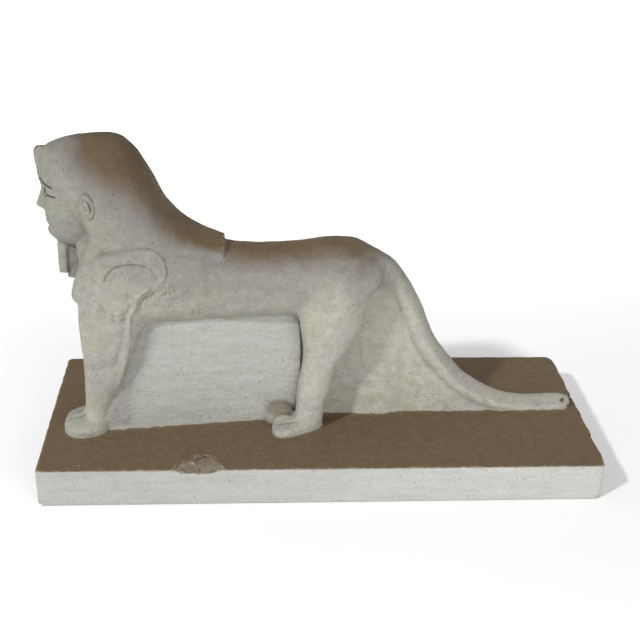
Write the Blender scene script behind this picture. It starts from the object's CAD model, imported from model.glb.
"""Looks for a standing royal sphinx, cast in plaster in one piece with its plinth.

Forms are worked out in millimetres, with heights counted from the plinth's top, and turned into
metres when the mesh is made. The sphinx faces -X and its left side faces -Y.
"""

import math

import bpy
import numpy as np
from mathutils import Matrix, Vector


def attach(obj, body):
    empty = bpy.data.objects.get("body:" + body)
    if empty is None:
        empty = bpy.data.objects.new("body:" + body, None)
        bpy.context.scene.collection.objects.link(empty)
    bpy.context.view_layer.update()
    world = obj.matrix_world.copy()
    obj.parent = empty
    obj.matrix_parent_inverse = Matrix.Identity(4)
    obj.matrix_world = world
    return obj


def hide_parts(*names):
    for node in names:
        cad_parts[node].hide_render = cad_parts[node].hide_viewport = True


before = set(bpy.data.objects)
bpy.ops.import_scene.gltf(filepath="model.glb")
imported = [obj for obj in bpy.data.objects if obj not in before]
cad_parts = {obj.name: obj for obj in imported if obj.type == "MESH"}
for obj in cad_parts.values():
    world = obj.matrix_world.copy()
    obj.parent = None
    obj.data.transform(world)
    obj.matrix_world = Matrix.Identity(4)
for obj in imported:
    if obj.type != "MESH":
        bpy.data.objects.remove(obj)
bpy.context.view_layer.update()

# ---- The cast: plinth, lion, fill, tail and head ------------------------------------------------
# One solid casting in plaster, poured in a piece mould, so that no part of it was ever separate.
# Closed skins are swept through named stations, fused into one surface, softened where a modeller's
# thumb would have run, and then carved and chipped point by point.

PLINTH = (600.0, 232.0, 44.0)
GROUND = PLINTH[2]
# How far the legs and walls reach down into the plinth.
ROOT = 4.0
# Each flank's sign along Y, and how far back its front and its hind foot stand.
FLANKS = ((-1, 0.0, 0.0), (1, 34.0, 66.0))


def along(stations, t):
    """Each column of the stations at t from 0 to 1, on a smooth curve through every station.

    Between two stations it is the cubic whose slopes are half the gap between their neighbours.
    """
    p = np.asarray(stations, float)
    place = np.clip(np.asarray(t, float), 0, 1) * (len(p) - 1)
    i = np.minimum(place.astype(int), len(p) - 2)
    f = (place - i)[:, None]
    a, b = p[i], p[i + 1]
    slope_a = (b - p[np.maximum(i - 1, 0)]) / 2
    slope_b = (p[np.minimum(i + 2, len(p) - 1)] - a) / 2
    bend = 3 * (b - a) - 2 * slope_a - slope_b
    return a + slope_a * f + bend * f**2 + (2 * (a - b) + slope_a + slope_b) * f**3


def closed(rings):
    """A closed skin over rings of points, rows by sides by 3, with a point in each end's middle."""
    rows, sides = rings.shape[:2]
    points = np.concatenate([rings.reshape(-1, 3), rings[[0, -1]].mean(axis=1)])
    r, s = np.meshgrid(np.arange(rows - 1), np.arange(sides), indexing="ij")
    near, far = r * sides + s, r * sides + (s + 1) % sides
    quads = np.stack([near, far, far + sides, near + sides], axis=-1).reshape(-1, 4)
    s = np.arange(sides)
    first, last = rows * sides, rows * sides + 1
    end = (rows - 1) * sides
    first_fan = np.stack([np.full(sides, first), (s + 1) % sides, s], axis=-1)
    last_fan = np.stack([np.full(sides, last), end + s, end + (s + 1) % sides], axis=-1)
    return points, quads, np.concatenate([first_fan, last_fan])


def oval(angle, half, up, down, squareness):
    """A superellipse: half sizes times cosine and sine, each raised to 2 over the squareness."""
    c, s = np.cos(angle), np.sin(angle)
    power = 2 / squareness
    across = half * np.sign(c) * np.abs(c) ** power
    return across, np.where(s > 0, up, down) * np.sign(s) * np.abs(s) ** power


def skin(axis, stations, sides=120, rows=90):
    """A skin of oval sections square to the X or Z axis, swept through the stations.

    A station is place, two centres, half size, size up, size down and squareness.
    """
    at, c1, c2, half, up, down, n = along(stations, np.linspace(0, 1, rows)).T[:, :, None]
    p, q = oval(np.linspace(0, 2 * math.pi, sides, endpoint=False)[None, :], half, up, down, n)
    at = at + 0 * p
    if axis == "x":
        return closed(np.stack([at, c1 + p, GROUND + c2 + q], axis=-1))
    return closed(np.stack([c1 + p, c2 + q, GROUND + at], axis=-1))


def evenly(rows):
    """Stations whose fifth number is the half size both up and down."""
    return [(at, c1, c2, r1, r2, r2, n) for at, c1, c2, r1, r2, n in rows]


def egg(centre, radii, lean=0.0, sides=48, rows=32):
    """An ellipsoid: latitude circles of radius cosine at height sine, turned about Y by lean."""
    lat = np.linspace(-math.pi / 2, math.pi / 2, rows + 2)[1:-1, None]
    lon = np.linspace(0, 2 * math.pi, sides, endpoint=False)[None, :]
    x, y, z = np.cos(lat) * np.cos(lon), np.cos(lat) * np.sin(lon), np.sin(lat) + 0 * lon
    x, y, z = x * radii[0], y * radii[1], z * radii[2]
    turned = np.stack([x * math.cos(lean) + z * math.sin(lean), y,
                       z * math.cos(lean) - x * math.sin(lean)], axis=-1)
    return closed(turned + np.array([centre[0], centre[1], GROUND + centre[2]]))


def tube(stations, across=1.0, sides=60, rows=220):
    """A rope along a smooth curve through (x, y, z, radius) stations, its section square to it.

    The section is a circle, made wider from side to side by a factor.
    """
    t = np.linspace(0, 1, rows)
    path = along(stations, t)
    forward = np.gradient(path[:, :3], axis=0)
    forward /= np.linalg.norm(forward, axis=1, keepdims=True)
    side = np.array([0.0, 1.0, 0.0])
    over = np.cross(side, forward)
    over /= np.linalg.norm(over, axis=1, keepdims=True)
    angle = np.linspace(0, 2 * math.pi, sides, endpoint=False)[None, :, None]
    ring = across * np.cos(angle) * side + np.sin(angle) * over[:, None, :]
    middle = path[:, None, :3] + np.array([0, 0, GROUND])
    return closed(middle + ring * path[:, None, 3:4])


def plate(stations, rows=60, sides=30):
    """A wall on the plinth, swept through (x, middle y, half thickness, height) stations."""
    x, y, half, high = along(stations, np.linspace(0, 1, rows)).T[:, :, None]
    low = -ROOT
    up = np.linspace(0, 1, sides)[None, :]
    near = np.stack([x + 0 * up, y - half + 0 * up, GROUND + low + (high - low) * up], axis=-1)
    far = np.stack([x + 0 * up, y + half + 0 * up, GROUND + high + (low - high) * up], axis=-1)
    return closed(np.concatenate([near, far], axis=1))


def fuse(shells, voxel):
    """One closed surface round all the shells, as points and four-sided faces, voxel apart."""
    points, loops, sizes, base = [], [], [], 0
    for p, quads, tris in shells:
        points.append(p)
        loops += [(quads + base).ravel(), (tris + base).ravel()]
        sizes += [np.full(len(quads), 4), np.full(len(tris), 3)]
        base += len(p)
    mesh = mesh_of(np.concatenate(points), np.concatenate(loops), np.concatenate(sizes))
    lump = bpy.data.objects.new("lump", mesh)
    bpy.context.scene.collection.objects.link(lump)
    made = lump.modifiers.new("fuse", "REMESH")
    made.mode, made.voxel_size, made.adaptivity = "VOXEL", voxel, 0
    out = lump.evaluated_get(bpy.context.evaluated_depsgraph_get()).data
    co = np.empty(len(out.vertices) * 3, np.float32)
    out.vertices.foreach_get("co", co)
    corners = np.empty(len(out.loops), np.int32)
    out.loops.foreach_get("vertex_index", corners)
    bpy.data.objects.remove(lump)
    bpy.data.meshes.remove(mesh)
    return co.reshape(-1, 3).astype(float), corners.reshape(-1, 4)


def mesh_of(points, loops, sizes):
    """A mesh from points, face corners one after another, and each face's number of corners."""
    mesh = bpy.data.meshes.new("cast")
    mesh.vertices.add(len(points))
    mesh.vertices.foreach_set("co", np.ascontiguousarray(points, np.float32).ravel())
    mesh.loops.add(len(loops))
    mesh.loops.foreach_set("vertex_index", np.asarray(loops, np.int32))
    mesh.polygons.add(len(sizes))
    starts = np.concatenate([[0], np.cumsum(sizes)[:-1]])
    mesh.polygons.foreach_set("loop_start", np.asarray(starts, np.int32))
    mesh.update(calc_edges=True)
    return mesh


def edges_of(quads):
    """Every edge of the four-sided faces once, as pairs of point numbers."""
    pairs = np.concatenate([quads[:, [k, (k + 1) % 4]] for k in range(4)])
    return pairs[pairs[:, 0] < pairs[:, 1]]


def relax(co, edges, rounds, weight=1.0):
    """Each point moves towards its neighbours' average, half way times its weight, each round."""
    co = co.copy()
    n = len(co)
    count = np.bincount(edges.ravel(), minlength=n).clip(1)[:, None]
    for _ in range(rounds):
        total = np.stack([
            np.bincount(edges[:, 0], co[edges[:, 1], k], n)
            + np.bincount(edges[:, 1], co[edges[:, 0], k], n)
            for k in range(3)
        ], axis=-1)
        co += 0.5 * weight * (total / count - co)
    return co


def normals_of(co, quads):
    """Unit normals: the faces' cross products of diagonals, summed at each corner."""
    a, b, c, d = (co[quads[:, k]] for k in range(4))
    face = np.cross(c - a, d - b)
    out = np.zeros_like(co)
    for k in range(4):
        for axis in range(3):
            out[:, axis] += np.bincount(quads[:, k], face[:, axis], len(co))
    return out / np.linalg.norm(out, axis=1, keepdims=True).clip(1e-9)


def hill(value, middle, spread, power=2.0):
    """A soft bump of height 1: e to minus the distance over the spread, to that power."""
    return np.exp(-(np.abs((value - middle) / spread) ** power))


def ramp(value, low, high):
    """0 below low, 1 above high and a smooth S between them."""
    t = np.clip((value - low) / (high - low), 0, 1)
    return t * t * (3 - 2 * t)


def ripple(co, size, seed):
    """Smooth unevenness about -1 to 1 with features of that size.

    It is the sum of plane sine waves in random directions, over the square root of their number.
    """
    waves = 16
    rng = np.random.default_rng(seed)
    out = np.zeros(len(co))
    for _ in range(waves):
        way = rng.normal(size=3)
        way *= 2 * math.pi / (np.linalg.norm(way) * size * rng.uniform(0.8, 1.9))
        out += np.sin(co @ way + rng.uniform(0, 2 * math.pi))
    return out / math.sqrt(waves)


TRUNK = [
    # x, middle y, middle height, half width, size up, size down, squareness
    (-257, 0, 148, 20, 18, 22, 2.2),
    (-252, 0, 150, 36, 32, 40, 2.3),
    (-232, 0, 158, 45, 50, 50, 2.4),
    (-200, 0, 164, 50, 61, 48, 2.5),
    (-165, 0, 166, 49, 64, 42, 2.7),
    (-150, 0, 166, 47, 58, 42, 2.7),
    (-130, 0, 166, 45.5, 47.5, 42, 2.4),
    (-100, 0, 166, 44.5, 37.5, 41, 2.2),
    (-60, 0, 166, 44, 35.5, 39, 2.2),
    (-25, 0, 167, 45, 37, 37, 2.2),
    (2, 0, 168, 47, 40.5, 40, 2.2),
    (22, 0, 169, 47.5, 38.5, 40, 2.25),
    (36, 0, 170, 46.5, 30.6, 36, 2.15),
    (46, 0, 173, 41.5, 26.6, 27, 2.1),
    (53, 0, 176, 34, 21.5, 19, 2.1),
    (59, 0, 178, 25, 16, 13, 2),
    (63, 0, 178, 14, 10, 9, 2),
]
FORELEG = [
    # height, middle x, middle y, half length, half width, squareness
    (-ROOT, -245, 30, 13.5, 16, 2.5),
    (14, -245, 30, 13, 16.5, 2.5),
    (28, -243, 30, 14, 17, 2.6),
    (45, -239.5, 30, 16.5, 18, 2.8),
    (60, -235.5, 30, 19.5, 19.5, 3),
    (78, -231, 30, 23.5, 21, 3),
    (105, -227, 30, 29, 22.5, 3),
    (130, -223, 29, 34, 24, 2.8),
    (155, -214, 28, 42.5, 26, 2.4),
    (180, -208, 28, 44, 26.5, 2.3),
    (200, -207, 28, 44, 26.5, 2.3),
    (212, -204, 30, 36, 24, 2.2),
    (218, -200, 32, 20, 19, 2.1),
]
HIND_LEG = [
    # the same columns as the foreleg
    (-ROOT, -14, 30, 15, 15.5, 2.6),
    (14, -13.5, 30, 15.5, 15.5, 2.6),
    (30, -12.5, 29, 16.5, 16, 2.6),
    (48, -9, 27.5, 18, 17, 2.5),
    (70, -5, 27, 18.5, 17.5, 2.4),
    (93, 1.2, 27, 23.7, 20, 2.4),
    (120, 6, 27, 32.5, 24, 2.4),
    (144, 7.5, 27, 35, 26, 2.3),
    (170, 15, 25, 35, 27, 2.2),
    (190, 21, 20, 29, 24, 2.1),
    (203, 25, 14, 15, 14, 2),
]
BLOCK = [
    # x, middle y, half thickness, height
    (-238, 0, 43, 138),
    (-168, 0, 35, 134),
    (-90, 0, 26, 129.5),
    (-28, 0, 19, 132.5),
]
WEB = [
    # the same columns as the block
    (-60, 0, 14, 150),
    (20, 0, 11, 150),
    (48, 0.3, 13, 166),
    (64, 0.8, 14.5, 170),
    (76, 1.2, 13.5, 158),
    (84, 1.4, 11.5, 145),
    (93, 1.6, 10, 127),
    (114, 2, 9.5, 84),
    (134, 2.5, 11, 57),
    (152, 3, 11.5, 38),
    (180, 3.5, 11.5, 18),
    (200, 4, 10, 9),
]
TAIL = [
    # x, y and z of the middle, radius
    (12, 0, 188, 19.5),
    (35, 0, 186, 19.2),
    (50, 0.3, 182.2, 17.8),
    (62.5, 0.7, 174.6, 16.2),
    (73, 1.1, 163.4, 15),
    (84, 1.6, 147.6, 14.3),
    (96, 2.1, 124.4, 14),
    (106.5, 2.6, 99.4, 14),
    (119.6, 3.1, 76.2, 13.9),
    (133.6, 3.5, 57.6, 13.7),
    (148.6, 4, 39.6, 13.6),
    (162, 4, 28.2, 13.4),
    (177.4, 4, 18.4, 12.9),
    (203, 4, 7.8, 11.8),
    (228, 4, 2.8, 11.1),
    (252, 4, 2.4, 10.9),
    (268, 4, 3.2, 10.6),
    (280, 4, 4, 9.6),
    (289, 4, 5.5, 6.5),
]
NECK = [
    # height, middle x, middle y, half length, half width, squareness, as in the next lists
    (145, -224, 0, 30, 36, 2.3),
    (185, -225, 0, 30, 36, 2.3),
    (215, -228, 0, 32, 28, 2.2),
    (235, -230, 0, 32, 28, 2.2),
]
HEAD = [
    (208, -256, 0, 14, 12, 2.2),
    (214, -257, 0, 22, 18, 2.2),
    (222, -253, 0, 30, 23.5, 2.2),
    (232, -248, 0, 36, 28, 2.2),
    (245, -245, 0, 40.5, 32, 2.3),
    (258, -243, 0, 42.5, 34, 2.3),
    (272, -242, 0, 43.5, 34.5, 2.3),
    (286, -241, 0, 44.3, 34, 2.3),
    (300, -239, 0, 45.5, 31.5, 2.2),
    (309, -241, 0, 40, 26, 2.2),
    (315, -240, 0, 29, 19, 2.1),
    (319, -238, 0, 17, 12, 2),
]
HEADCLOTH = [
    # the same columns as the trunk
    (-272, 0, 294, 20, 18, 8, 2.2),
    (-262, 0, 286, 31, 29.5, 16, 2.2),
    (-252, 0, 274, 35, 45, 26, 2.25),
    (-243, 0, 258, 38, 62.5, 34, 2.3),
    (-234, 0, 236, 43, 85.5, 40, 2.3),
    (-222, 0, 212, 48.5, 110, 50, 2.35),
    (-208, 0, 207, 51, 112.3, 54, 2.35),
    (-195, 0, 210, 51, 97.6, 50, 2.3),
    (-180, 0, 213, 48.5, 70.3, 40, 2.2),
    (-166, 0, 214, 45, 39.5, 30, 2.1),
    (-150, 0, 212, 40.5, 21.5, 20, 2.1),
    (-134, 0, 206, 36, 16, 16, 2.1),
    (-120, 0, 200, 31, 16.5, 14, 2.1),
    (-106, 0, 195, 27, 17.5, 12, 2.1),
]
LAPPET = [
    (153, -246, 26, 12.5, 14, 2.6),
    (157.5, -246.5, 26, 15.5, 15.5, 2.6),
    (164, -246, 26.5, 16, 16.5, 2.7),
    (183, -240, 28, 15.5, 17.5, 2.8),
    (205, -232, 31, 15, 18, 2.8),
    (232, -223, 33, 14, 14, 2.6),
]
BEARD = [(174, -272, 0, 5.6, 9, 4), (195, -271.4, 0, 5.8, 8, 4), (219, -270, 0, 6.2, 6.5, 4)]
BEARD_WEB = [(167.5, -255.5, 0, 13.5, 5.5, 4), (219, -254, 0, 14, 5, 4)]
URAEUS = [
    (266, -283, 0, 4, 4.5, 3),
    (275, -284, 0, 5, 6, 3),
    (290, -284.5, 0, 6.5, 6.5, 3),
    (303, -283.5, 0, 8.5, 7, 3),
    (308.5, -283, 0, 7, 6, 3),
]


FRONT_PAW_TIP = -281
FRONT_PAW = [
    # how far behind the tip, middle y, middle height, half width, half height, squareness
    (0, 33, 4, 9, 5, 2.2), (4, 33, 4.5, 18, 9.5, 2.3), (12, 33, 5, 24, 12.5, 2.4),
    (24, 33, 5.5, 25.5, 14, 2.4), (38, 32, 5, 21, 14, 2.4), (48, 31, 4, 15.5, 12.5, 2.3),
]
HIND_PAW_TIP = -65
HIND_PAW = [
    (9.5, 44, 3, 10, 5, 2.2), (14, 44, 3, 15.5, 7.5, 2.4), (25, 44, 3, 17.5, 9, 2.4),
    (38, 38, 4, 17.5, 11, 2.3), (51, 34, 4.5, 16, 12, 2.3), (59, 32, 4, 13, 11, 2.2),
]
HIND_TOES = [
    # middle and radii of the two rounded toes inside the hind paw's outer edge
    ((-47, 20, 9), (17.5, 13.5, 14.5)),
    ((-41, 36, 5.5), (13, 8.5, 9.5)),
]
EAR = (-238.3, 38, 261)
EAR_RADII = (6.4, 6.8, 11.8)
# The brow's, eye's, nose end's, mouth's and chin's heights, and the eye's distance from the middle.
BROW, EYE, NOSE_END, MOUTH, CHIN = 276, 265.6, 247.5, 234.5, 219.5
EYE_OUT = 14.2


def leg(stations, side, back, hip):
    """A leg on one side, its foot set back by that much, and less with height, up to the hip."""
    moved = [(z, x + back * max(0.0, 1 - z / hip), y * side, a, b, n)
             for z, x, y, a, b, n in stations]
    return skin("z", evenly(moved))


def paw(stations, tip, side):
    """The round mass of a paw, swept back from its tip."""
    return skin("x", evenly([(tip + back, y * side, *rest) for back, y, *rest in stations]))


def features(height, across):
    """How far the face stands out at a height and a place across it: soft bumps added up.

    The eyes lie half way up the head, the nose ends half way from brow to chin, and the mouth
    lies a third of the way from nose to chin.
    """
    h, side = height, np.abs(across)
    nose_length = 29
    slope = np.clip((BROW - h) / nose_length, 0, 1) ** 1.15
    under = 1 - ramp(-h, -NOSE_END, -243.2)
    nose = 9.6 * slope * under * hill(across, 0, 2.6 + 2.2 * slope)
    wings = 2.6 * hill(side, 4.9, 2.0) * hill(h, 247.4, 2.6)
    brow = 1.3 * hill(h, BROW - 0.012 * (side - 12) ** 2, 2.6) * hill(side, 14, 13, 4)
    socket = -3.6 * hill(h, EYE + 1, 6.2) * hill(side, EYE_OUT, 8.6)
    almond = np.sqrt(((side - EYE_OUT) / 7.2) ** 2 + ((h - EYE) / 3.5) ** 2)
    ball = 2.7 * np.exp(-(almond**3))
    lids = 0.75 * hill(almond, 1.12, 0.16) * hill(side, EYE_OUT, 9, 4)
    cheeks = 1.6 * hill(h, 252, 12) * hill(side, 17.5, 9)
    bow = 0.5 * np.cos(across / 2.4) * hill(across, 0, 5)
    upper = 2.1 * hill(h, 237 - bow, 1.9) * hill(across, 0, 8.6, 3)
    lower = 2.3 * hill(h, 231.7, 2.3) * hill(across, 0, 7.4, 3)
    parting = -1.5 * hill(h, MOUTH - 0.006 * across**2, 0.75) * hill(across, 0, 10.5, 4)
    corners = -0.8 * hill(side, 10.8, 1.8) * hill(h, 234.2, 1.8)
    groove = -0.6 * hill(across, 0, 1.4) * ramp(h, 238, 240) * (1 - ramp(h, 242, 244))
    hollow = -1.0 * hill(h, 226.6, 2.4) * hill(across, 0, 8)
    chin = 2.8 * hill(h, CHIN, 5.6) * hill(across, 0, 9.5)
    return (nose + wings + brow + socket + ball + lids + cheeks + upper + lower + parting
            + corners + groove + hollow + chin)


def head():
    """The head as upright sections, closer together round the face, with its features stood out."""
    height, x, y, depth, width, n = along(HEAD, np.linspace(0, 1, 320)).T[:, :, None]
    turn = np.linspace(0, 2 * math.pi, 420, endpoint=False)[None, :]
    angle = math.pi + turn - 0.55 * np.sin(turn)
    p, q = oval(angle, depth, width, width, n)
    front = np.clip(-np.cos(angle), 0, 1) ** 1.2
    out = front * features(height + 0 * q, q)
    return closed(np.stack([x + p - out, y + q, GROUND + height + 0 * q], axis=-1))


def plinth():
    """A low slab: its upright corners are rounded, the back right one most, and its rims worn."""
    bevel = 1.3
    turn = np.linspace(0, math.pi / 2, 12)
    arc = np.stack([np.cos(turn), np.sin(turn)], axis=-1)
    corners = [(1, 1, 11), (-1, 1, 5.5), (-1, -1, 4), (1, -1, 4.5)]
    middles = [np.array([sx * (PLINTH[0] / 2 - r), sy * (PLINTH[1] / 2 - r)]) for sx, sy, r in corners]
    outline = np.concatenate([
        (arc if sx * sy > 0 else arc[::-1]) * (sx, sy) * r + middle
        for (sx, sy, r), middle in zip(corners, middles)
    ])
    ease = np.linspace(0, math.pi / 2, 6)
    inset = np.concatenate([bevel * (1 - np.sin(ease)), bevel * (1 - np.cos(ease))])
    level = np.concatenate([bevel * (1 - np.cos(ease)), PLINTH[2] - bevel * (1 - np.sin(ease))])
    outward = outline - np.repeat(middles, len(turn), axis=0)
    outward = outward / np.linalg.norm(outward, axis=1, keepdims=True)
    flat = outline[None] - inset[:, None, None] * outward[None]
    high = np.broadcast_to(level[:, None, None], flat.shape[:2] + (1,))
    return closed(np.concatenate([flat, high], axis=-1))


# The body's forms run into one another, as a modeller's thumb leaves them.
soft = [skin("x", TRUNK, rows=200), skin("z", evenly(NECK)), tube(TAIL)]
for side, front, hind in FLANKS:
    soft += [leg(FORELEG, side, front, 150), leg(HIND_LEG, side, hind, 160),
             paw(FRONT_PAW, FRONT_PAW_TIP + front, side), paw(HIND_PAW, HIND_PAW_TIP + hind, side)]
co, quads = fuse(soft, voxel=1.7)
co = relax(co, edges_of(quads), 34)

# The rest meets the body in a clean line, and so does the tail, thinner where it leaves the rump.
tail = [(x, y, z, r - max(0.0, 3.5 - (x - 35) / 8)) for x, y, z, r in TAIL[1:]]
crisp = [(co, quads, np.zeros((0, 3), int)), plinth(), plate(BLOCK), plate(WEB), head(),
         skin("x", HEADCLOTH, rows=220), skin("z", evenly(BEARD)), skin("z", evenly(BEARD_WEB)),
         skin("z", evenly(URAEUS)), tube(tail, 1.13)]
for side, _, hind in FLANKS:
    mirrored = [(z, x, y * side, a, b, n) for z, x, y, a, b, n in LAPPET]
    crisp += [skin("z", evenly(mirrored)), egg((EAR[0], side * EAR[1], EAR[2]), EAR_RADII, -0.2)]
    crisp += [egg((x + hind, y * side, z), radii) for (x, y, z), radii in HIND_TOES]
co, quads = fuse(crisp, voxel=0.95)
edges = edges_of(quads)


def soften(co, where, rounds):
    """Relax by a weight at each point, leaving out the points where it is next to nothing."""
    used = where > 0.01
    near = edges[used[edges].any(axis=1)]
    number, short = np.unique(near, return_inverse=True)
    out = co.copy()
    out[number] = relax(co[number], short.reshape(-1, 2), rounds, (where * used)[number, None])
    return out


x, y, z = co[:, 0], np.abs(co[:, 1]), co[:, 2] - GROUND
co = relax(co, edges, 2)
toes = hill(z, 12, 18, 4) * (hill(x, -262, 24, 4) + hill(x, -10, 60, 6))
temples = hill(x, -256, 16) * ramp(z, 262, 275) * ramp(y, 8, 16)
chest = hill(x, -250, 16, 4) * hill(z, 170, 34, 4) * ramp(y, 26, 36)
tail_root = hill(x, 62, 26, 4) * ramp(z, 135, 150)
rump_end = hill(x, 47, 15, 4) * ramp(z, 180, 192)
co = soften(co, np.clip(0.4 * toes * ramp(z, 2, 6) + temples + chest, 0, 1), 10)
co = soften(co, tail_root, 26)
co = soften(co, rump_end, 70)


# Carving leaves alone what lies nearer the middle than this.
FLANK = 9


def reach_of(co, normals, line, side, reach, fade):
    """Points near a smooth line drawn on one flank, as pairs of x and height above the plinth.

    Gives which points they are, how far to the right of the line each lies, seen along its
    direction with x to the right and height up, and a weight from 0 to 1. The weight fades out over
    a share of the line at both ends, and on faces that turn away from the flank.
    """
    path = along(line, np.linspace(0, 1, 20 * len(line)))
    way = np.gradient(path, axis=0)
    way /= np.linalg.norm(way, axis=1, keepdims=True)
    low, high = path.min(axis=0) - reach, path.max(axis=0) + reach
    flat = co[:, [0, 2]] - (0, GROUND)
    picked = np.flatnonzero((co[:, 1] * side > FLANK) & (flat > low).all(1) & (flat < high).all(1))
    gap = np.linalg.norm(flat[picked, None] - path[None], axis=2)
    best = gap.argmin(axis=1)
    off = flat[picked] - path[best]
    right = np.sign(off[:, 0] * way[best, 1] - off[:, 1] * way[best, 0])
    t = best / (len(path) - 1)
    weight = ramp(t, 0, fade) * (1 - ramp(t, 1 - fade, 1)) * ramp(normals[picked, 1] * side, 0.1, 0.4)
    return picked, right * gap[np.arange(len(picked)), best], weight


def carve(co, normals, line, side, depth, width, fade=0.15):
    """A groove along a line, or a ridge where depth is below 0, fading out at both ends."""
    picked, off, weight = reach_of(co, normals, line, side, 3 * width, fade)
    co[picked] -= normals[picked] * (depth * hill(off, 0, width) * weight)[:, None]


def brink(co, normals, line, side, height, step, spread, fade=0.15):
    """A step: the ground to the right of the line stands up, and sinks back over a spread."""
    picked, off, weight = reach_of(co, normals, line, side, 3 * spread, fade)
    lift = height * ramp(off, -step, step) * np.exp(-((off.clip(0) / spread) ** 2)) * weight
    co[picked] += normals[picked] * lift[:, None]


def press(co, normals, centre, radii, side, depth):
    """A soft round hollow on one flank, or a swelling where depth is below 0."""
    far = ((co[:, 0] - centre[0]) / radii[0]) ** 2 + ((co[:, 2] - GROUND - centre[1]) / radii[1]) ** 2
    cut = depth * np.exp(-far) * (co[:, 1] * side > FLANK)
    co -= normals * cut[:, None]


def chip(co, centre, radii, seed):
    """What breaks away round a centre: points inside a rough ellipsoid go out to its surface.

    Its radius is one, plus waves of a rough part and a gritty part, less of both in a large chip.
    """
    furthest, large = 1.35, 13
    middle = np.array([centre[0], centre[1], GROUND + centre[2]])
    off = (co - middle) / np.asarray(radii, float)
    far = np.linalg.norm(off, axis=1)
    near = np.flatnonzero(far < furthest)
    rough, grit = (0.16, 0.03) if max(radii) < large else (0.10, 0.01)
    edge = 1 + rough * ripple(co[near], 0.8 * min(radii) + 2, seed)
    edge += grit * ripple(co[near], 2.2, seed)
    inside = far[near] < edge
    near, edge = near[inside], edge[inside]
    co[near] = middle + off[near] / far[near, None].clip(1e-3) * edge[:, None] * radii
    return near


normals = normals_of(co, quads)

# Shoulders: a broad band curls over a sunk disc, and the arm's muscle hangs out of it. Lines are
# pairs of x and height above the plinth. The right side is carved more plainly than the left.
OUTER = [(-248, 194), (-241, 202), (-231, 210), (-221, 215), (-207, 218), (-190, 219.5), (-177, 218),
         (-170, 213), (-165, 205), (-163, 197), (-163.5, 189), (-166, 181), (-170, 175)]
INNER = [(-227, 180), (-225, 187), (-221, 195), (-214, 202), (-204, 205), (-195, 205.5), (-188, 204),
         (-181, 200), (-175, 194), (-172, 187), (-172, 180)]
RIDGE = [(-174, 178), (-184, 176), (-192, 169), (-196, 158), (-201, 148), (-203, 135), (-204, 119),
         (-207.5, 100), (-213, 80), (-219, 60), (-226, 42)]
BESIDE_RIDGE = [(-205, 146), (-208, 135), (-210, 119), (-215, 100), (-222, 80)]
MUSCLE = [(-171, 175), (-179, 170), (-188, 164), (-191, 156), (-193, 146)]
CHEST_EDGE = [(-230, 176), (-236, 168), (-241, 158), (-244, 147), (-245, 137), (-247, 122), (-248, 90)]
CHEST_FOLD = [(-234, 186), (-238, 174), (-242, 165)]
HOOK = [(-198, 164), (-202, 154), (-206, 148), (-208.5, 141), (-213, 136.5), (-218, 140),
        (-218.5, 146), (-214, 148)]
RUMP = [(46, 200), (52, 194), (55, 186), (54.5, 177), (50, 170), (43, 163)]
for side in (-1, 1):
    brink(co, normals, OUTER, side, 2.4, 1.2, 18, 0.22)
    carve(co, normals, OUTER[:8], side, 0.8, 1.8, 0.25)
    carve(co, normals, OUTER[5:], side, 0.5, 1.2, 0.2)
    brink(co, normals, INNER, side, -2.0, 1.0, 13, 0.1)
    carve(co, normals, INNER, side, 0.7, 1.1, 0.1)
    press(co, normals, (-212, 172), (10, 22), side, -1.9)
    press(co, normals, (-191, 189), (7, 6), side, 1.6)
    press(co, normals, (-187, 176), (8, 7), side, -1.0)
    brink(co, normals, RUMP if side < 0 else RUMP[2:], side, 2.4, 1.4, 14, 0.25)
    if side < 0:
        press(co, normals, (-212, 152), (6, 9), side, -1.4)
        carve(co, normals, HOOK, side, 1.2, 2.2)
        carve(co, normals, MUSCLE, side, 1.3, 2.0)
        carve(co, normals, RIDGE, side, -2.0, 2.3, 0.1)
        carve(co, normals, BESIDE_RIDGE, side, 1.3, 2.6)
        press(co, normals, (-229, 153), (4, 7), side, 2.4)
        press(co, normals, (-201, 168), (3.5, 5), side, 1.4)
        carve(co, normals, CHEST_EDGE, side, -1.4, 2.0)
        carve(co, normals, CHEST_FOLD, side, 0.9, 1.6)

# Paws: short grooves between the front toes, deepest beside the outer toe, and two in the hind ones.
TOE_GROOVES = [
    # distance from the middle, depth, length
    (40, 4.2, 10),
    (28.5, 3.4, 14),
    (18.5, 2.8, 14),
]
for side, front, hind in FLANKS:
    x, y, z = co[:, 0], co[:, 1] * side, co[:, 2] - GROUND
    paws = hill(x - front, -270, 15, 4) * (z > 1) * (z < 24)
    for out, depth, length in TOE_GROOVES:
        cut = depth * paws * hill(y, out, 1.8) * hill(x - front, -266, length, 4)
        co -= normals * cut[:, None]
    cleft = hill(x - hind, -38, 12, 4) * hill(y, 46.5, 1.6) * (z > 4) * (z < 20)
    split = hill(x - hind, -54, 9, 4) * hill(y, 20, 1.2) * (z > 2) * (z < 20)
    co -= normals * (2.4 * cleft + 1.6 * split)[:, None]

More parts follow.
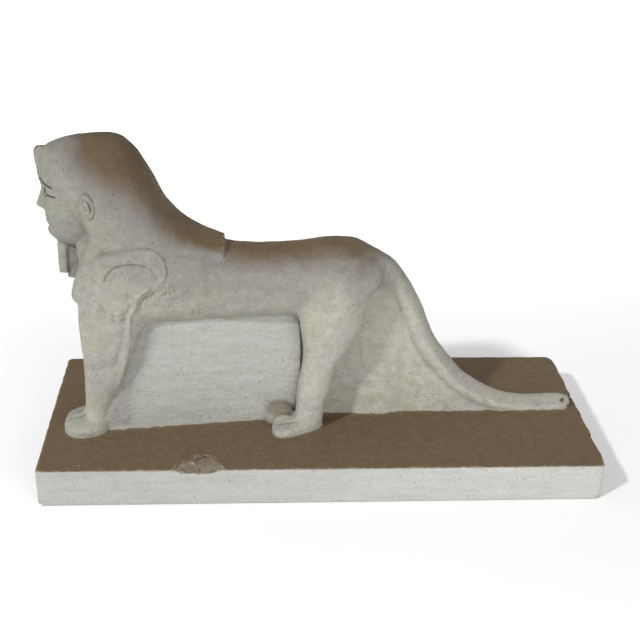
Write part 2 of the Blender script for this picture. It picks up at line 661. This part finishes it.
# Ears: a rolled rim, a second ridge inside it, a hollow in front of that, and a lobe.
for side in (-1, 1):
    x, z = co[:, 0] - EAR[0], co[:, 2] - GROUND - EAR[2]
    u, w = (x + 0.2 * z) / EAR_RADII[0], (z - 0.2 * x) / EAR_RADII[2]
    ring = np.hypot(u, w)
    flank = co[:, 1] * side > 34
    back = ramp(u + 0.45 * w, -0.8, -0.2)
    groove = 2.0 * hill(ring, 0.70, 0.12) * back * ramp(w, -0.65, -0.35)
    bowl = 3.0 * np.exp(-((((u + 0.20) / 0.38) ** 2 + ((w + 0.12) / 0.32) ** 2) ** 1.5))
    notch = 1.6 * np.exp(-((((u + 0.60) / 0.22) ** 2 + ((w - 0.25) / 0.30) ** 2)))
    fork = 1.2 * np.exp(-((((u - 0.05) / 0.18) ** 2 + ((w - 0.46) / 0.16) ** 2)))
    rim = 0.9 * hill(ring, 0.92, 0.12) * back
    behind = 1.5 * hill(ring, 1.18, 0.11) * ramp(u - 0.3 * w, -0.5, 0.2)
    inner = (groove + bowl + notch + fork - rim) * (ring < 1.15)
    co -= normals * ((inner + behind) * flank)[:, None]

# Beard: braided, in rows that slope away from the middle, with a groove down each side of it. The
# stub on the brow is broken.
braid_pitch = 3.4
x, y, z = co[:, 0], co[:, 1], co[:, 2] - GROUND
front = (x < -269) & (np.abs(y) < 9.6) & (z > 174) & (z < 212)
braid = 0.3 * (1 + np.cos(2 * math.pi * (z + 0.7 * np.abs(y)) / braid_pitch))
braid += 0.2 * ripple(co, 2.6, 5)
co[front] -= (normals * braid[:, None])[front]
beside = (np.abs(y) > 3) & (np.abs(y) < 14)
strip = hill(x, -267, 0.9) * beside * ramp(z, 170, 176) * ramp(-z, -214, -208)
co -= normals * (0.7 * strip)[:, None]
stub = hill(x, -289, 7, 4) * hill(y, 0, 9, 6) * ramp(z, 268, 276)
co -= normals * (stub * (0.35 * ripple(co, 3.2, 7) + 0.25 * ripple(co, 7, 8)))[:, None]

# The hand-worked surface: slow waves all over, small dents, pitting on the shoulder where the mould
# rubbed, and an uneven seam where the figure meets the plinth.
figure = ramp(co[:, 2], GROUND + 1, GROUND + 8)
head_on = 1 - 0.8 * ramp(-co[:, 0], 240, 262) * ramp(z, 215, 225)
waves = 0.32 * ripple(co, 46, 11) + 0.16 * ripple(co, 15, 12) + 0.09 * ripple(co, 5, 13)
co += normals * (waves * (0.35 + 0.65 * figure) * head_on)[:, None]
rough = hill(x, -167, 17, 4) * hill(z, 167, 11, 4) + 0.5 * hill(x, -210, 20) * hill(z, 146, 16)
pitting = rough * (np.abs(y) > 20) * np.clip(0.4 + ripple(co, 3.6, 14), 0, 1.6) * 0.9
co -= normals * pitting[:, None]
seam = hill(z, 0, 2.6) * hill(co[:, 1], 0, 62, 8) * (normals[:, 2] > -0.5)
co[:, 2] += 0.5 * seam * (ripple(co, 9, 15) + 0.6) * (np.abs(normals[:, 2]) < 0.98)

# Breaks: one large chip in the left top edge, small ones along the edges, a hole and a blunt end on
# the tail, and nicks in the brow and the headcloth.
CHIPS = [
    # middle, with its height above the plinth's top, and radii
    # three bites of the large chip
    ((-143, -118, 0.3), (17, 19, 4.4)),
    ((-126, -118, 0.3), (16, 28, 5)),
    ((-133, -119, 0), (14, 7, 6)),
    # along the left edge
    ((-177, -117.5, 0.5), (8, 3, 2.4)),
    ((-77, -118, 0), (7, 3.4, 3)),
    ((-31, -117.5, 1), (6, 3, 2.4)),
    ((-15, -117.5, 1), (5, 3, 2)),
    ((-3, -118, 0.5), (6, 3.2, 2.4)),
    ((160, -118, 0), (9, 3, 3.4)),
    ((169, -119, -3), (6, 3.2, 5)),
    ((205, -118, 0), (6, 3, 2.6)),
    ((230, -118, 0), (8, 3, 2.4)),
    # the back end, the left side's lower corners and the right edge
    ((302.5, -63, -4), (5, 7, 12)),
    ((304, 18, 0), (6, 22, 9)),
    ((302, -118, -43), (8, 6, 7)),
    ((-301, -117, -43), (6, 6, 6)),
    ((60, 118, 1), (14, 3.6, 3.4)),
    ((-210, 118, 0), (7, 3, 3.4)),
    # the tail's blunt end and the hole before it
    ((292, -7, 5), (7, 7, 5)),
    ((279.5, -6, 11), (2.4, 6, 2.4)),
    # the broken brow and nicks in the headcloth
    ((-291, 0, 311), (5, 9, 3.4)),
    ((-235, -39, 290), (2.4, 3, 2.2)),
    ((-229, -41, 293), (1.8, 3, 1.6)),
    ((-226, -37, 300), (4, 3, 1.4)),
]
first_seed = 40
fresh = np.zeros(len(co))
for number, (centre, radii) in enumerate(CHIPS):
    fresh[chip(co, centre, radii, first_seed + number)] = 1

# Wear: the plinth's back end is ragged and its rims are nicked. The fill's rear face bulges.
ragged = ramp(co[:, 0], 288, 297) * (z < 1)
co[:, 0] -= ragged * np.clip(0.5 + 0.9 * ripple(co * (0.01, 1, 0.35), 26, 71), -0.6, 3)
rim = (z < 0.5) & (z > -2.5) & (normals[:, 2] > 0.15) & (normals[:, 2] < 0.93)
co[rim] -= (normals * np.clip(0.7 * ripple(co, 8, 72) - 0.2, 0, 1.6)[:, None])[rim]
fill_end = (x > -31) & (x < -25) & (np.abs(y) < 21) & (z > 3) & (z < 134)
co[:, 0] += 4.0 * fill_end * hill(z, 78, 48, 3)
co[:, 2] = np.maximum(co[:, 2], 0)

# What the finish needs to know: how sunk or proud each point is, and which faces are which.
normals = normals_of(co, quads)


def averaged(values, rounds):
    """Numbers kept at the points, each averaged with its neighbours' as relax does."""
    return relax(values[:, None].repeat(3, 1).astype(float), edges, rounds)[:, 0]


calm = relax(co, edges, 14)
sunk = averaged(((calm - co) * normals).sum(axis=1), 2)
x, y, z = co[:, 0], co[:, 1], co[:, 2] - GROUND
up = relax(normals, edges, 8)[:, 2]
sideways = np.abs(normals[:, 1])

# Toning on what faces up: the plinth's top, the crown and the back, and the tops of the paws.
top = ramp(z, -1.6, -0.4) * (1 - ramp(z, 2.5, 6)) * ramp(up, 0.3, 0.6)
crown = np.clip(up, 0, 1) ** 1.7 * ramp(z, 40, 110) * (1 - 0.5 * ramp(x, 90, 150))
front_paws = 0.6 * ramp(up, 0.0, 0.8) * hill(x, -275, 24, 6)
paws = front_paws + 0.8 * ramp(up, -0.2, 0.5) * hill(x, -47, 19, 6)
paws = np.maximum(paws * (co[:, 1] > -35), 0.42 * ramp(up, 0.1, 0.9) + 0.1 * (x < -258))
crown = np.maximum(crown, paws * ramp(z, 3, 8) * (z < 28) * (x < 90))

# A wash runs down from the ridge of the headcloth and the rump, thinning with depth below it.
WASH = np.array([
    # x, strength, and the depths below the ridge where it starts to thin and where it ends
    (-280, 0.25, 0, 14),
    (-262, 0.48, 0, 34),
    (-240, 0.96, 6, 72),
    (-216, 1.06, 14, 94),
    (-194, 1.0, 8, 98),
    (-167, 0.98, 0, 58),
    (-139, 1.0, 2, 20),
    (-106, 1.0, 4, 18),
    (-100, 0.0, 4, 18),
    (-20, 0.0, 4, 40),
    (32, 0.85, 0, 60),
    (52, 0.8, 0, 52),
    (70, 0.0, 0, 30),
])
rump_top = 208
strength, starts, ends = (np.interp(x, WASH[:, 0], WASH[:, k]) for k in (1, 2, 3))
ridge = np.array([(row[0], row[2] + row[4]) for row in HEADCLOTH])
depth = np.where(x < -100, np.interp(x, ridge[:, 0], ridge[:, 1]), rump_top) - z
wash = strength * (1 - ramp((depth - starts) / (ends - starts), 0, 1)) * (z > 150)

# Thin toning left elsewhere: the barrel, the tail, the corner behind the foreleg and under the beard.
barrel = 0.44 * ramp(z, 136, 180) * hill(x, -80, 84, 6)
rope = 0.38 * ramp(x, 56, 120) * ramp(up, -0.5, 0.5) * ramp(z, 3, 8) * (sideways < 0.93)
tail_root = 0.42 * hill(x, 64, 17, 4) * ramp(z, 148, 172)
foreleg = 0.16 * hill(x, -232, 32, 6) * hill(z, 90, 62, 6)
leg_back = np.interp(z, [45, 78, 105, 130], [-223, -208, -198, -189])
nook = 0.32 * (1 - ramp(x - leg_back, 10, 24)) * ramp(x, -236, -226) * (np.abs(y) < 45) * (z < 136)
under_beard = 0.4 * hill(x, -258, 11, 6) * (np.abs(y) < 13) * hill(z, 190, 27, 6)
front_dome = 1 - 0.75 * ramp(-x, 238, 276) * (z > 100)
toned = np.maximum.reduce([crown * front_dome, wash, barrel, rope, foreleg, tail_root, under_beard])
toned = np.maximum(np.clip(toned, 0, 1) * ramp(z, 3, 8), top)
toned = np.maximum(toned, nook * ramp(z, 2, 10) * (sideways > 0.8))

# Pale brushed faces: the two long faces of the fill, and the plinth's sides.
fill = np.array(BLOCK)
off_fill = np.abs(np.abs(y) - np.interp(x, fill[:, 0], fill[:, 2]))
fill_face = (x > -232) & (x < -27) & (z < 136.5) & (sideways > 0.9) & (off_fill < 1.6)
side_face = (z < -0.8) & (np.abs(normals[:, 2]) < 0.75)
pale = averaged(np.maximum(fill_face * 0.8, side_face), 2)

mesh = mesh_of(co * 0.001, quads.ravel(), np.full(len(quads), 4))
for name, values in (("sunk", sunk), ("toned", toned), ("pale", pale), ("fresh", fresh)):
    mesh.attributes.new(name, "FLOAT", "POINT").data.foreach_set("value", values.astype(np.float32))
cast = bpy.data.objects.new("sphinx_cast", mesh)
bpy.context.scene.collection.objects.link(cast)
# Each four-sided face is two triangles, which keeps the cast under 200,000 of them.
faces_kept = 97500
thin = cast.modifiers.new("thin", "DECIMATE")
thin.ratio = faces_kept / len(quads)
thinned = bpy.data.meshes.new_from_object(cast.evaluated_get(bpy.context.evaluated_depsgraph_get()))
cast.modifiers.clear()
cast.data = thinned
thinned.polygons.foreach_set("use_smooth", np.ones(len(thinned.polygons), bool))


class Paint:
    """Shader nodes of one material, made by short calls that return the socket they give."""

    def __init__(self, tree):
        self.tree = tree

    def node(self, kind, inputs=(), **settings):
        """A node with its settings, and its inputs by name or number as values or sockets."""
        made = self.tree.nodes.new(kind)
        for name, value in settings.items():
            setattr(made, name, value)
        for name, value in dict(inputs).items():
            if isinstance(value, bpy.types.NodeSocket):
                self.tree.links.new(value, made.inputs[name])
            else:
                made.inputs[name].default_value = value
        return made

    def math(self, operation, a, b=0.0, c=0.0):
        """The result of one Math operation."""
        return self.node("ShaderNodeMath", {0: a, 1: b, 2: c}, operation=operation).outputs[0]

    def product(self, a, b):
        """One number times another."""
        return self.math("MULTIPLY", a, b)

    def ramp(self, value, low, high, start=0.0, end=1.0):
        """A smooth S from start to end as the value goes from low to high."""
        inputs = {"Value": value, "From Min": low, "From Max": high, "To Min": start, "To Max": end}
        return self.node("ShaderNodeMapRange", inputs, interpolation_type="SMOOTHSTEP").outputs[0]

    def band(self, value, half, soft):
        """1 where the value is within half of 0, and 0 further off."""
        return self.ramp(self.math("ABSOLUTE", value), half - soft, half + soft, 1.0, 0.0)

    def mix(self, factor, a, b, blend="MIX"):
        """Colour a turned into b by a factor."""
        made = self.node("ShaderNodeMix", {0: factor, 6: a, 7: b}, data_type="RGBA", blend_type=blend)
        return made.outputs[2]

    def tint(self, under, value, low, high, strength, colour):
        """A colour laid over another, up to a strength, as the value goes from low to high."""
        return self.mix(self.ramp(value, low, high, 0.0, strength), under, colour)

    def noise(self, vector, scale, detail=3.0, roughness=0.55, distortion=0.0):
        """Cloudy noise, about 0.3 to 0.7, with features of one over the scale."""
        inputs = {"Vector": vector, "Scale": scale, "Detail": detail, "Roughness": roughness,
                  "Distortion": distortion}
        return self.node("ShaderNodeTexNoise", inputs).outputs[0]

    def stretch(self, vector, scale):
        """Coordinates scaled differently along X, Y and Z."""
        return self.node("ShaderNodeVectorMath", {0: vector, 1: scale}, operation="MULTIPLY").outputs[0]

    def mask(self, name):
        """A number kept on the mesh."""
        return self.node("ShaderNodeAttribute", attribute_name=name).outputs["Fac"]


plaster = bpy.data.materials.new("toned_plaster")
plaster.use_nodes = True
paint = Paint(plaster.node_tree)
shader = plaster.node_tree.nodes["Principled BSDF"]
place = paint.node("ShaderNodeTexCoord").outputs["Object"]
parts = paint.node("ShaderNodeSeparateXYZ", {0: place}).outputs
sunk_at, toned_at, pale_at, fresh_at = map(paint.mask, ("sunk", "toned", "pale", "fresh"))
patches = paint.noise(place, 26, 4, 0.6, 0.4)
cloud = paint.noise(place, 34, 5, 0.62, 0.3)
stain = paint.noise(place, 70, 5, 0.72, 0.5)
mottle = paint.noise(place, 120, 5, 0.65)
fine = paint.noise(place, 340, 4, 0.7)
grain = paint.noise(place, 900, 2, 0.6)
strokes = paint.noise(paint.stretch(place, (16, 40, 170)), 1.0, 6, 0.75)

# Bare plaster: greenish grey with lilac patches, darker towards the head's top and the front.
GREENISH, LILAC = (0.346, 0.344, 0.280, 1), (0.324, 0.308, 0.284, 1)
colour = paint.mix(paint.ramp(patches, 0.40, 0.62), GREENISH, LILAC)
colour = paint.tint(colour, mottle, 0.40, 0.70, 1.0, (0.385, 0.380, 0.328, 1))
colour = paint.tint(colour, fine, 0.50, 0.30, 0.24, (0.200, 0.186, 0.146, 1))
colour = paint.tint(colour, fine, 0.54, 0.70, 0.28, (0.50, 0.50, 0.45, 1))
colour = paint.tint(colour, stain, 0.50, 0.36, 0.34, (0.235, 0.222, 0.170, 1))
colour = paint.tint(colour, stain, 0.54, 0.66, 0.34, (0.435, 0.435, 0.390, 1))
shade = paint.product(paint.ramp(parts["Z"], 0.13, 0.29, 1.16, 0.76),
                      paint.ramp(parts["X"], -0.24, 0.24, 0.97, 1.12))
colour = paint.mix(1.0, colour, shade, "MULTIPLY")

# The brushed faces are whiter, and their strokes run lengthwise.
BRUSHED, WHITEST = (0.394, 0.398, 0.364, 1), (0.446, 0.454, 0.430, 1)
whiter = paint.mix(paint.ramp(strokes, 0.32, 0.68), BRUSHED, WHITEST)
whiter = paint.tint(whiter, mottle, 0.46, 0.30, 0.5, (0.340, 0.332, 0.284, 1))
whiter = paint.tint(whiter, fine, 0.50, 0.32, 0.22, (0.255, 0.245, 0.200, 1))
whiter = paint.mix(1.0, whiter, paint.ramp(parts["X"], -0.24, 0.24, 1.0, 1.19), "MULTIPLY")
colour = paint.mix(pale_at, colour, whiter)

# Brown toning: thick on the plinth's top, rubbed thin down the back and crown, greyer where thin.
DARK_BROWN, BROWN, THIN_BROWN = (0.108, 0.068, 0.030, 1), (0.132, 0.087, 0.043, 1), (0.146, 0.129, 0.120, 1)
uneven = paint.product(toned_at, paint.math("SUBTRACT", 1.0, toned_at))
edge = paint.product(paint.math("SUBTRACT", cloud, 0.5), uneven)
edge = paint.math("MULTIPLY_ADD", edge, 1.6, toned_at)
brown = paint.mix(paint.ramp(mottle, 0.35, 0.65), DARK_BROWN, BROWN)
brown = paint.tint(brown, fine, 0.52, 0.32, 0.25, (0.070, 0.042, 0.018, 1))
brown = paint.mix(paint.ramp(toned_at, 0.55, 1.0, 1.0, 0.0), brown, THIN_BROWN)
brown = paint.mix(1.0, brown, paint.ramp(parts["Z"], 0.29, 0.345, 1.0, 0.78), "MULTIPLY")
colour = paint.mix(paint.product(edge, 0.97), colour, brown)

# Dirt lies in the hollows, proud edges are rubbed light, and what broke later shows its own colour.
DIRT, RUBBED = (0.120, 0.100, 0.068, 1), (0.43, 0.425, 0.38, 1)
colour = paint.mix(paint.product(paint.ramp(sunk_at, 0.05, 0.8), 0.55), colour, DIRT)
rubbed = paint.product(paint.ramp(sunk_at, -0.10, -0.6), paint.ramp(mottle, 0.35, 0.6))
colour = paint.mix(paint.product(rubbed, 0.5), colour, RUBBED)
broken = paint.mix(paint.ramp(fine, 0.35, 0.6), (0.105, 0.070, 0.038, 1), (0.185, 0.135, 0.085, 1))
broken = paint.mix(pale_at, broken, (0.44, 0.40, 0.335, 1))
colour = paint.mix(paint.product(fresh_at, paint.ramp(cloud, 0.35, 0.6, 0.55, 0.85)), colour, broken)


def dots(scale, inner, outer, where):
    """Round dots, one in each Voronoi cell: 1 within the inner radius and 0 past the outer one."""
    cells = paint.node("ShaderNodeTexVoronoi", {"Vector": place, "Scale": scale})
    return paint.product(paint.ramp(cells.outputs["Distance"], inner, outer, 1.0, 0.0), where)


# Pinholes, pores and pale specks.
holes = dots(150.0, 0.07, 0.12, paint.ramp(paint.noise(place, 60, 2), 0.52, 0.6))
pores = dots(390.0, 0.12, 0.26, paint.ramp(cloud, 0.44, 0.62))
specks = dots(95.0, 0.06, 0.15, paint.ramp(paint.noise(place, 43, 2), 0.55, 0.66))
colour = paint.mix(paint.product(holes, 0.7), colour, (0.10, 0.085, 0.06, 1))
colour = paint.mix(paint.product(pores, 0.42), colour, (0.11, 0.09, 0.06, 1))
colour = paint.mix(paint.product(specks, 0.35), colour, (0.45, 0.44, 0.40, 1))

# Painted brow and eye lines, black, the same on both sides of the face, in millimetres.
across = paint.product(paint.math("ABSOLUTE", parts["Y"]), 1000.0)
height = paint.math("MULTIPLY_ADD", parts["Z"], 1000.0, -GROUND)
facing = paint.ramp(parts["X"], -0.262, -0.258, 1.0, 0.0)


def line(centre_height, half, inner, outer):
    """A painted line at a height across the face, between two distances from the middle."""
    on = paint.band(paint.math("SUBTRACT", height, centre_height), half, 0.18)
    reach = paint.product(paint.ramp(across, inner - 0.5, inner + 0.5),
                          paint.ramp(across, outer - 0.4, outer + 0.4, 1.0, 0.0))
    return paint.product(on, reach)


# The brow arches by the square of the way from its top, and so do both lids from the eye's middle.
arch = paint.math("POWER", paint.math("SUBTRACT", across, 11.0), 2.0)
brow_line = line(paint.math("MULTIPLY_ADD", arch, -0.010, BROW + 1.2), 1.15, 4.5, 27)
lid = paint.math("POWER", paint.product(paint.math("SUBTRACT", across, EYE_OUT), 1 / 7.4), 2.0)
lid = paint.math("MAXIMUM", paint.math("SUBTRACT", 1.0, lid), 0.0)
upper_lid = line(paint.math("MULTIPLY_ADD", lid, 3.5, EYE), 0.95, 6.4, 28.5)
lower_lid = line(paint.math("MULTIPLY_ADD", lid, -3.1, EYE), 0.6, 6.8, 22)
from_eye = paint.node("ShaderNodeCombineXYZ", {
    0: paint.math("SUBTRACT", across, 14.0), 1: paint.math("SUBTRACT", height, 265.9)}).outputs[0]
from_eye = paint.node("ShaderNodeVectorMath", {0: from_eye}, operation="LENGTH").outputs["Value"]
pupil = paint.ramp(from_eye, 1.9, 2.3, 1.0, 0.0)
lines = paint.math("MAXIMUM", paint.math("MAXIMUM", brow_line, upper_lid),
                   paint.math("MAXIMUM", lower_lid, pupil))
worn = paint.ramp(paint.noise(place, 420, 3), 0.34, 0.44, 0.75, 1.0)
lines = paint.product(paint.product(lines, facing), worn)
colour = paint.mix(paint.product(lines, 0.93), colour, (0.018, 0.018, 0.020, 1))
colour = paint.tint(colour, grain, 0.35, 0.65, 0.10, (0.2, 0.19, 0.16, 1))

# Matt all over, a little closer where the toning is thick, with a fine brushed and grainy skin.
shine = paint.ramp(mottle, 0.3, 0.7, 0.74, 0.92)
relief = paint.math("MULTIPLY_ADD", strokes, 0.4, paint.math("MULTIPLY_ADD", fine, 0.9, mottle))
relief = paint.math("MULTIPLY_ADD", grain, 0.2, relief)
relief = paint.math("SUBTRACT", relief, paint.product(holes, 1.6))
relief = paint.math("SUBTRACT", relief, paint.product(pores, 0.6))
bump = paint.node("ShaderNodeBump", {"Strength": 0.8, "Distance": 0.0014, "Height": relief})
plaster.node_tree.links.new(colour, shader.inputs["Base Color"])
plaster.node_tree.links.new(shine, shader.inputs["Roughness"])
plaster.node_tree.links.new(bump.outputs[0], shader.inputs["Normal"])
shader.inputs["Specular IOR Level"].default_value = 0.3
thinned.materials.clear()
thinned.materials.append(plaster)
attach(cast, "root")
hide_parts("sphinx_with_plinth")

# ---- The stage ----------------------------------------------------------------------------------
# A pale floor and surround, a small key light from the front left, a broad soft one from the right,
# and a wash of light on the floor behind.
FLOOR_SIZE = 14
bpy.ops.mesh.primitive_plane_add(size=FLOOR_SIZE)
floor = bpy.context.object
floor.name = "floor"
floor_paint = bpy.data.materials.new("pale_floor")
floor_paint.use_nodes = True
floor_inputs = floor_paint.node_tree.nodes["Principled BSDF"].inputs
floor_inputs["Base Color"].default_value = (0.9, 0.9, 0.9, 1)
floor_inputs["Roughness"].default_value = 0.9
floor.data.materials.append(floor_paint)

world = bpy.data.worlds.new("surround")
world.use_nodes = True
surround_inputs = world.node_tree.nodes["Background"].inputs
surround_inputs["Color"].default_value = (1, 1, 1, 1)
surround_inputs["Strength"].default_value = 0.5
bpy.context.scene.world = world
bpy.context.scene.view_settings.view_transform = "Standard"


def lamp(name, spot, aim, power, size):
    """A square area light at a spot, turned to face a point."""
    light = bpy.data.lights.new(name, "AREA")
    light.energy, light.size = power, size
    made = bpy.data.objects.new(name, light)
    made.location = spot
    made.rotation_euler = (Vector(spot) - Vector(aim)).to_track_quat("Z", "Y").to_euler()
    bpy.context.scene.collection.objects.link(made)
    return made


lamp("key", (-1.72, -1.47, 2.1), (0, 0, 0.15), 57, 0.2)
lamp("soft", (0.75, -1.55, 0.75), (0.05, 0, 0.1), 13.5, 1.2)
backdrop = lamp("backdrop", (0, 2.7, 2.1), (0, 2.7, 0), 88, 3.0)
backdrop.data.spread = math.radians(75)

# The viewer stands off the left side, a little towards the head, and looks down.
stand = (-0.079, -0.999, 0.691)
pitch, yaw, roll = math.radians(28), math.radians(4.35), math.radians(1.98)
camera = bpy.data.cameras.new("camera")
camera.sensor_width, camera.lens = 36, 58.56
camera.clip_start, camera.clip_end = 0.05, 30
viewer = bpy.data.objects.new("camera", camera)
bpy.context.scene.collection.objects.link(viewer)
viewer.matrix_world = (Matrix.Translation(stand) @ Matrix.Rotation(-yaw, 4, "Z")
                       @ Matrix.Rotation(math.pi / 2 - pitch, 4, "X") @ Matrix.Rotation(roll, 4, "Z"))
bpy.context.scene.camera = viewer
